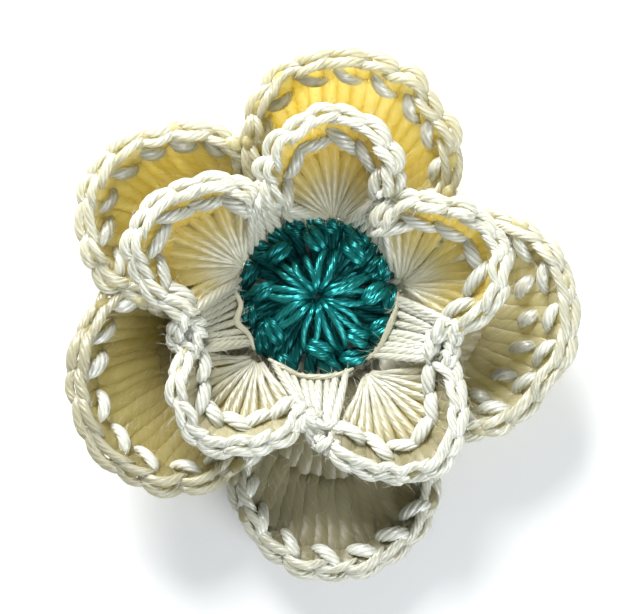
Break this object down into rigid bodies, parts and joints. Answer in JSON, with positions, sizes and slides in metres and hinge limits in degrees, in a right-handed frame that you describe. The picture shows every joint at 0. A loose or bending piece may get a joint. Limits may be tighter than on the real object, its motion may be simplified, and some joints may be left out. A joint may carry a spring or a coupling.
{
  "type": "crocheted plumeria flower",
  "caption": "Crocheted cotton plumeria blossom, face up: teal centre, cupped cream front petals with braided rims, and a larger round of back petals beneath.",
  "frame": {"origin": "middle of the flat back of the back round, on the surface that the flower lies on", "axes": "+Z out of the flower's face, +Y towards the top petal of the picture, +X towards the right petal of the picture"},
  "size_m": [0.0892, 0.0927, 0.022],
  "materials": {
    "cream_yarn": "soft sheen of plied mercerised cotton",
    "teal_yarn": "soft sheen of plied mercerised cotton"
  },
  "bodies": {
    "root": {"teal_centre_round": "teal_yarn", "front_petal_round": "cream_yarn", "back_petal_round": "cream_yarn"}
  },
  "joints": []
}
